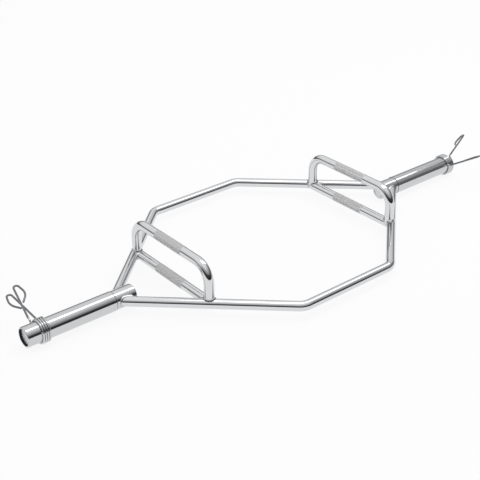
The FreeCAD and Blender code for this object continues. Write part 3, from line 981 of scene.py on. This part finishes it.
@dataclass(frozen=True)
class SleeveEnd:
    """The hub, the sleeve and their plugs, all turned about the sleeves' axis.

    Attributes:
        hub_x, seam_x, end_x: The hub's inner end, the sleeve's start and its end, from the bar's middle.
        sleeve_r, bore_r: Radii of the sleeve and its bore.
        rim: Rounding of the sleeve's end.
        hub_r, hub_bore_r: Radii of the hub and its bore.
        hub_round: Rounding of the hub's inner end.
        spigot_x: Where the hub's spigot ends inside the sleeve.
        plug, plug_eye: Thickness of the plugs, and radius of the innermost ring on their faces.
        inner_recess, outer_recess: How deep the plugs sit.
        gap: Clearance of the fits.
        edge: Breaking of the small edges.
        bevel: Bevel of the sleeve's inner end, which makes the seam show.
        seam_shade: Width of the dark band on the hub at the seam, painted shade where the hub meets the
            sleeve.
    """

    hub_x: float
    seam_x: float = 477.0
    end_x: float = SLEEVE_END
    sleeve_r: float = 25.0
    bore_r: float = 21.0
    rim: float = 2.5
    hub_r: float = HUB_R
    hub_round: float = 3.0
    hub_bore_r: float = 16.95
    spigot_x: float = 537.0
    plug: float = 8.0
    plug_eye: float = 2.0
    inner_recess: float = 0.6
    outer_recess: float = 6.0
    gap: float = 0.05
    edge: float = 0.5
    bevel: float = 0.8
    seam_shade: float = 2.0
    columns: int = 160
    sleeve_steps: int = 24
    hub_steps: int = 10

    def sleeve(self) -> Sheet:
        """The sleeve's tube, with a rounded rim. Its bore and the bevel at the seam get the dark mark:
        the bore is unplated and its dark tone also paints the shade in the end recess, and on the bevel
        it is a painted shade line.

        Returns:
            Its closed profile turned about the axis.
        """
        rim = corner_round((self.end_x - self.rim, self.sleeve_r - self.rim), self.rim, 90.0)
        start = [self.seam_x + self.bevel, self.sleeve_r]
        profile = np.vstack(
            [
                [[self.seam_x, self.sleeve_r - self.bevel]],
                np.linspace(start, rim[0], self.sleeve_steps, endpoint=False),
                rim,
                [[self.end_x, self.bore_r + self.edge], [self.end_x - self.edge, self.bore_r]],
                [[self.seam_x, self.bore_r]],
            ]
        )
        # The dark mark paints shade in the bore of the end recess, over unplated metal, and paints a
        # shade line on the bevel at the seam.
        unplated_and_shaded = np.zeros(len(profile))
        unplated_and_shaded[[0, -2, -1]] = 1.0
        return turned(profile, self.columns, unplated_and_shaded)

    def hub(self) -> Sheet:
        """The hub with its rounded inner end. The unplated spigot and a band of the hub's end at the seam
        get the dark mark, which on that band is painted shade.

        Returns:
            Its closed profile turned about the axis.
        """
        spigot_r = self.bore_r - self.gap
        nose = (self.hub_x + self.hub_round, self.hub_r - self.hub_round)
        start, stop = self.hub_x + 2 * self.hub_round, self.seam_x - self.seam_shade
        profile = np.vstack(
            [
                [[self.hub_x + self.edge, self.hub_bore_r], [self.hub_x, self.hub_bore_r + self.edge]],
                corner_round(nose, self.hub_round, 180.0),
                np.linspace([start, self.hub_r], [stop, self.hub_r], self.hub_steps),
                [[self.seam_x, self.hub_r], [self.seam_x, spigot_r]],
                [[self.spigot_x, spigot_r], [self.spigot_x, self.hub_bore_r]],
            ]
        )
        # The dark mark fades in towards the seam on the hub's face as a painted shade line, and also
        # covers the unplated spigot.
        unplated_and_shaded = np.zeros(len(profile))
        unplated_and_shaded[-4:] = 1.0
        return turned(profile, self.columns, unplated_and_shaded)

    def disc(self, near: float, bore: float) -> Sheet:
        """A plug with slightly broken edges.

        Args:
            near: Where it starts along the axis.
            bore: Radius of the bore that it sits in.

        Returns:
            The plug, with a fan in each face.
        """
        radius = bore - self.gap
        half = [[0.0, self.plug_eye], [0.0, radius / 2], [0.0, radius - self.edge], [self.edge, radius]]
        profile = np.array(half + [[self.plug - place, ring] for place, ring in half[::-1]])
        return turned(profile + [near, 0.0], self.columns)

    def build(self, side: Side) -> None:
        """Make the turned pieces of one end.

        Args:
            side: Which end.
        """
        inner = self.disc(self.hub_x + self.inner_recess, self.hub_bore_r)
        outer = self.disc(self.end_x - self.outer_recess - self.plug, self.bore_r)
        for name, kind, sheet, finish in (
            ("hub", "shell", self.hub(), HUB_CHROME),
            ("sleeve", "shell", self.sleeve(), SLEEVE_CHROME),
            ("inner_plug", "disc", inner, PLUG_STEEL),
            ("outer_plug", "disc", outer, PLUG_STEEL),
        ):
            make_piece(f"{side.value}_{name}", kind, [sheet], finish, side)


@dataclass(frozen=True)
class SpringCollar:
    """A spring collar: one wire wound round the sleeve, whose ends stand up as arms with open loops.

    Its methods number the arms: 0 is the outer arm, 1 the inner one.

    Attributes:
        side: The end of the bar that it sits on.
        inset: From the sleeve's end to the coil.
        turn: Angle of the collar round the sleeve, in degrees up from the front.
        spread: Angle between its arms, in degrees.
        end_x: The sleeve's end, from the bar's middle.
        wire_r, coil_r: Radii of the wire, and of the coil at the wire's centre.
        pitch, turns: From turn to turn, and how many whole turns.
        root: Radius of the bends where the arms leave the coil.
        cup: Radius of the hollow that an arm's round end sits in.
        reach: Length of an arm.
        lean: How far an arm leans along the sleeve, in degrees.
        loop_bend, loop_turn, loop_run: Radius and degrees of an arm's loop, and the run after it.
        tail_bend, tail_turn: Radius and degrees of the bend that leads the wire back to the arm.
        tail_stop: From the arm's centre to the end of the wire.
        cut_edge: Rounding of the wire's cut end.
        pole: Angle of the smallest ring on a round end or in its cup, in radians.
        floor_z: Height of the floor under the sleeves' axis, where the coil is flattened.
        senses: Which way along the winding each arm leaves the coil.
    """

    side: Side
    inset: float
    turn: float
    spread: float
    end_x: float = SLEEVE_END
    wire_r: float = 2.5
    coil_r: float = 27.8
    pitch: float = 5.5
    turns: int = 4
    root: float = 7.0
    cup: float = 2.8
    reach: float = 100.0
    lean: float = 8.0
    loop_bend: float = 7.0
    loop_turn: float = 158.0
    loop_run: float = 11.0
    tail_bend: float = 26.0
    tail_turn: float = 57.0
    tail_stop: float = 6.2
    cut_edge: float = 0.6
    pole: float = 0.12
    floor_z: float = -AXIS_HEIGHT
    senses: tuple[float, float] = (-1.0, 1.0)
    columns: int = 24
    turn_steps: int = 64
    root_steps: int = 14
    loop_steps: int = 33
    tail_steps: int = 20
    shaft_steps: int = 16
    ball_steps: int = 8
    cup_steps: int = 6
    run_steps: int = 4

    @property
    def arm_angles(self) -> tuple[float, float]:
        """Angles of both arms round the sleeve, in degrees up from the front."""
        return self.turn + self.spread / 2, self.turn - self.spread / 2

    def outward(self, arm: int) -> Array:
        """The direction away from the sleeve's axis at an arm's root."""
        angle = math.radians(self.arm_angles[arm])
        return np.array([0.0, -math.cos(angle), math.sin(angle)])

    def helix(self, count: int) -> Route:
        """The coil from the outer arm's root to the inner one's: a helix of even pitch.

        Args:
            count: How many points it gets.

        Returns:
            Points (x0 - pitch a / 360, -R cos(a0 - a), R sin(a0 - a)) with their headings.
        """
        degrees = np.linspace(0.0, 360.0 * self.turns + self.spread, count)
        angle = np.radians(self.arm_angles[0] - degrees)
        x = self.end_x - self.inset - self.wire_r - self.pitch * degrees / 360
        points = x[:, None] * ALONG + swung(angle, -self.coil_r * ACROSS, self.coil_r * UP)
        climb = -self.pitch / (2 * math.pi) * ALONG
        headings = unit(climb + swung(angle, -self.coil_r * UP, -self.coil_r * ACROSS))
        return Route(points, headings, np.full(count, self.wire_r))

    def leaving(self, arm: int) -> tuple[Array, Array]:
        """The coil's end at an arm, and its heading there out of the coil."""
        ends = self.helix(2)
        return ends.points[arm], ends.headings[arm] * self.senses[arm]

    def pivot(self, arm: int) -> Array:
        """The point where an arm flexes."""
        start, heading = self.leaving(arm)
        return start + heading * self.root + self.outward(arm) * (self.root + 2 * self.wire_r)

    def stub(self, arm: int) -> Route:
        """The wire from the coil's end round its root bend to the cup that an arm sits in.

        Args:
            arm: The arm's number.

        Returns:
            The route, without the coil's own last point.
        """
        out, pivot = self.outward(arm), self.pivot(arm)
        start, heading = self.leaving(arm)
        bend = Route.bend(start, out * self.root, heading, math.pi / 2, self.root_steps, self.wire_r)
        lip = math.sqrt(self.cup**2 - self.wire_r**2)
        run = Route.straight(bend.points[-1], pivot - out * lip, self.run_steps, self.wire_r)
        angles = np.linspace(math.asin(self.wire_r / self.cup), self.pole, self.cup_steps)
        hollow = Route.ball(pivot, out, self.cup, angles)
        return Route.join(bend.rest(), run.rest(), hollow.rest())

    def coil(self) -> Sheet:
        """The coil with both of its stubs, flattened where it stands on the floor.

        Returns:
            The round wire along them, kept above the floor.
        """
        winding = self.helix(self.turn_steps * self.turns + 1)
        route = Route.join(self.stub(0).backwards(), winding, self.stub(1))
        sheet = route.sheet(self.columns, ALONG)
        sheet.points[..., 2] = np.maximum(sheet.points[..., 2], self.floor_z)
        return sheet

    def arm(self, arm: int) -> Sheet:
        """An arm: straight from its round end, about the loop, back and in towards itself.

        Args:
            arm: The arm's number.

        Returns:
            The round wire along that route.
        """
        pivot, wire_r = self.pivot(arm), self.wire_r
        along, across = tipped(self.lean, self.outward(arm), ALONG * self.senses[arm])
        back, inward = tipped(self.loop_turn, along, across)
        slope, _ = tipped(self.tail_turn, back, inward)
        tip = pivot + along * (self.reach - self.loop_bend - wire_r)

        end = Route.ball(pivot, along, wire_r, np.linspace(self.pole, math.pi / 2, self.ball_steps))
        shaft = Route.straight(pivot, tip, self.shaft_steps, wire_r)
        turn = math.radians(self.loop_turn)
        loop = Route.bend(tip, across * self.loop_bend, along, turn, self.loop_steps, wire_r)
        start = loop.points[-1]
        way = Route.straight(start, start + back * self.loop_run, self.run_steps, wire_r)
        start, turn = way.points[-1], math.radians(self.tail_turn)
        tail = Route.bend(start, inward * self.tail_bend, back, turn, self.tail_steps, wire_r)
        start = tail.points[-1]
        down = ((start - pivot) @ across - self.tail_stop) / -(slope @ across)
        edge = start + slope * (down - self.cut_edge)
        run = Route.straight(start, edge, self.run_steps, wire_r)
        # The cut end's rounding has two rings: one at 45 degrees, and the rim of the flat.
        places = edge + slope * self.cut_edge * np.array([[math.sqrt(0.5)], [1.0]])
        cut = Route(places, np.tile(slope, (2, 1)), wire_r - self.cut_edge * np.array([0.3, 1.0]))
        followers = [route.rest() for route in (shaft, loop, way, tail, run)]
        return Route.join(end, *followers, cut).sheet(self.columns, np.cross(along, across))

    def build(self) -> None:
        """Make the coil and both arms."""
        name = self.side.value
        make_piece(f"{name}_coil", "wire", [self.coil()], WIRE_CHROME, self.side, f"{name}_collar")
        for number, arm in enumerate(("outer", "inner")):
            node = f"{name}_{arm}_arm"
            make_piece(node, "wire", [self.arm(number)], ARM_PAINTED_DARK, self.side, node)


# The studio


def grey(level: float) -> tuple[float, float, float, float]:
    """A grey of a linear level, with full alpha."""
    return (level, level, level, 1.0)


@dataclass(frozen=True)
class Studio:
    """A white floor, soft light from above and the camera at the photograph's place.

    Directions in the surroundings are unit vectors, so their X, Y and Z run from -1 to 1.

    Attributes:
        floor_half: Half of the floor's width in metres.
        floor_colour: The floor's sRGB colour.
        floor_white: How much of the floor's look is plain white; the rest takes the shadow.
        fill: Grey of the light from all round.
        front_wall, rear_wall: Heights and greys of the walls before and behind the bar.
        wall_span: The Y between which the front wall gives way to the rear one.
        pale_wall, pale_share, pale_span: Grey and share of a paler wall past the right end, and the X
            between which it comes in.
        box_size, box_power, box_place: The soft box's sides in metres, its watts and its place.
        azimuth, elevation, roll: The camera's angles in degrees: round from the front, up, and tipped.
        distance, aside, raised: How far it is moved back, to its right and up, in millimetres.
        focal_px, frame_px: Its focal length and the frame's width in pixels.
        sensor_mm: Width of its sensor.
    """

    floor_half: float = 30.0
    floor_colour: str = "F4F4F4"
    floor_white: float = 0.88
    fill: float = 0.8
    front_wall: tuple[tuple[float, float], ...] = (
        (0.0, 0.95),
        (0.012, 0.02),
        (0.36, 0.05),
        (0.5, 0.33),
        (0.62, 0.45),
        (0.74, 0.66),
        (0.86, 0.92),
        (1.0, 1.0),
    )
    rear_wall: tuple[tuple[float, float], ...] = (
        (0.0, 0.95),
        (0.012, 0.06),
        (0.16, 0.1),
        (0.3, 0.55),
        (0.45, 0.9),
        (0.76, 0.96),
        (1.0, 1.0),
    )
    wall_span: tuple[float, float] = (-0.25, 0.35)
    pale_wall: float = 0.45
    pale_share: float = 0.3
    pale_span: tuple[float, float] = (0.61, 0.68)
    box_size: tuple[float, float] = (3.4, 0.65)
    box_power: float = 18.0
    box_place: tuple[float, float, float] = (1.2, -0.05, 2.5)
    focal_px: float = 1011.27
    azimuth: float = -38.94
    elevation: float = 29.45
    roll: float = -0.47
    distance: float = 2643.88
    aside: float = -68.40
    raised: float = -6.38
    frame_px: int = 480
    sensor_mm: float = 36.0

    def camera(self) -> None:
        """Place the camera: back from the middle along its view, then aside, up and rolled."""
        turn, tilt = math.radians(self.azimuth), math.radians(self.elevation)
        flat = math.cos(tilt)
        back = Vector((math.sin(turn) * flat, -math.cos(turn) * flat, math.sin(tilt)))
        right = (-back).cross(Vector(UP)).normalized()
        level, upright = tipped(self.roll, right, right.cross(-back))
        place = back * self.distance + level * self.aside + upright * self.raised
        data = bpy.data.cameras.new("photo_camera")
        data.sensor_width = self.sensor_mm
        data.lens = self.focal_px / self.frame_px * self.sensor_mm
        camera = bpy.data.objects.new("photo_camera", data)
        axes = Matrix((level, upright, back)).transposed()
        place = (place + Vector(UP) * AXIS_HEIGHT) * MM
        camera.matrix_world = Matrix.Translation(place) @ axes.to_4x4()
        bpy.context.scene.collection.objects.link(camera)
        bpy.context.scene.camera = camera

    def seen(self, tree: Tree) -> tuple[Socket, Socket]:
        """Tell which rays see the white studio.

        Args:
            tree: Where the nodes go.

        Returns:
            1 for rays from the camera, and 1 for rays from the camera or from shiny or clear surfaces.
        """
        rays = add_node(tree, "LightPath").node.outputs
        either = rays["Is Camera Ray"]
        for name in ("Is Glossy Ray", "Is Transmission Ray"):
            either = add_node(tree, "Math", {0: either, 1: rays[name]}, operation="MAXIMUM")
        return rays["Is Camera Ray"], either

    def floor(self) -> None:
        """A wide white floor that keeps a soft shadow."""
        half = self.floor_half
        corners = [(-half, -half), (half, -half), (half, half), (-half, half)]
        mesh = bpy.data.meshes.new("floor")
        mesh.from_pydata([(x, y, -LET_IN * MM) for x, y in corners], [], [(0, 1, 2, 3)])
        material = bpy.data.materials.new("white_studio_floor")
        material.use_nodes = True
        tree = material.node_tree
        tree.nodes.clear()
        paint = add_node(tree, "BsdfDiffuse", {"Color": linear(self.floor_colour)})
        white = add_node(tree, "Emission", {"Color": linear(WHITE), "Strength": 1.0})
        _, either = self.seen(tree)
        share = add_node(tree, "Math", {0: either, 1: self.floor_white}, operation="MULTIPLY")
        mixed = add_node(tree, "MixShader", {0: share, 1: paint, 2: white})
        add_node(tree, "OutputMaterial", {"Surface": mixed})
        mesh.materials.append(material)
        floor = bpy.data.objects.new("floor", mesh)
        bpy.context.scene.collection.objects.link(floor)

    def surroundings(self) -> None:
        """The world: white to the camera, dark lower walls to metal, plain fill to the rest."""
        world = bpy.data.worlds.new("studio")
        bpy.context.scene.world = world
        world.use_nodes = True
        tree = world.node_tree
        tree.nodes.clear()
        place = add_node(tree, "TexCoord", out="Generated")
        parts = add_node(tree, "SeparateXYZ", {"Vector": place}).node.outputs
        walls = []
        for stops in (self.front_wall, self.rear_wall):
            wall = add_node(tree, "ValToRGB", {"Fac": parts["Z"]})
            wall.node.color_ramp.interpolation = "EASE"
            marks = wall.node.color_ramp.elements
            while len(marks) < len(stops):
                marks.new(1.0)
            for mark, (height, level) in zip(marks, stops):
                mark.position = height
                mark.color = grey(level)
            walls.append(wall)
        shares = []
        sides = (("Y", self.wall_span, 1.0), ("X", self.pale_span, self.pale_share))
        for axis, span, most in sides:
            spans = {"Value": parts[axis], **dict(zip(SPANS, (*span, 0.0, most)))}
            shares.append(add_node(tree, "MapRange", spans, interpolation_type="SMOOTHSTEP"))
        camera, either = self.seen(tree)
        # Each layer mixes the colour so far, which is None here, with one more.
        layers = (
            (shares[0], None, walls[1]),
            (shares[1], None, grey(self.pale_wall)),
            (either, grey(self.fill), None),
            (camera, None, linear(WHITE)),
        )
        colour = walls[0]
        for share, under, over in layers:
            tones = {0: share, COLOUR_A: under or colour, COLOUR_B: over or colour}
            colour = add_node(tree, "Mix", tones, COLOUR_OUT, data_type="RGBA")
        back = add_node(tree, "Background", {"Color": colour, "Strength": 1.0})
        add_node(tree, "OutputWorld", {"Surface": back})

    def lamp(self) -> None:
        """One long soft box overhead, whose streak shows along the tubes."""
        data = bpy.data.lights.new("soft_box", "AREA")
        data.shape = "RECTANGLE"
        data.size, data.size_y = self.box_size
        data.energy = self.box_power
        lamp = bpy.data.objects.new("soft_box", data)
        lamp.location = self.box_place
        bpy.context.scene.collection.objects.link(lamp)

    def build(self) -> None:
        """Set up the floor, the light and the camera."""
        self.floor()
        self.surroundings()
        self.lamp()
        self.camera()
        bpy.context.scene.view_settings.view_transform = "Standard"


def main() -> None:
    """Build the bar's pieces in order, then the studio."""
    logging.basicConfig(level=logging.INFO, format="%(name)s: %(message)s")
    hexagon = Hexagon()
    handles = Handles(hexagon)
    Rails(hexagon).build()
    end = SleeveEnd(hub_x=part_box("right_hub")[0].x / MM)
    for side in Side:
        handles.build(side)
        Welds(hexagon, handles).build(side)
        end.build(side)
    SpringCollar(Side.RIGHT, inset=1.0, turn=45.0, spread=26.0).build()
    SpringCollar(Side.LEFT, inset=31.0, turn=19.0, spread=4.0).build()
    Studio().build()


if __name__ == "__main__":
    main()
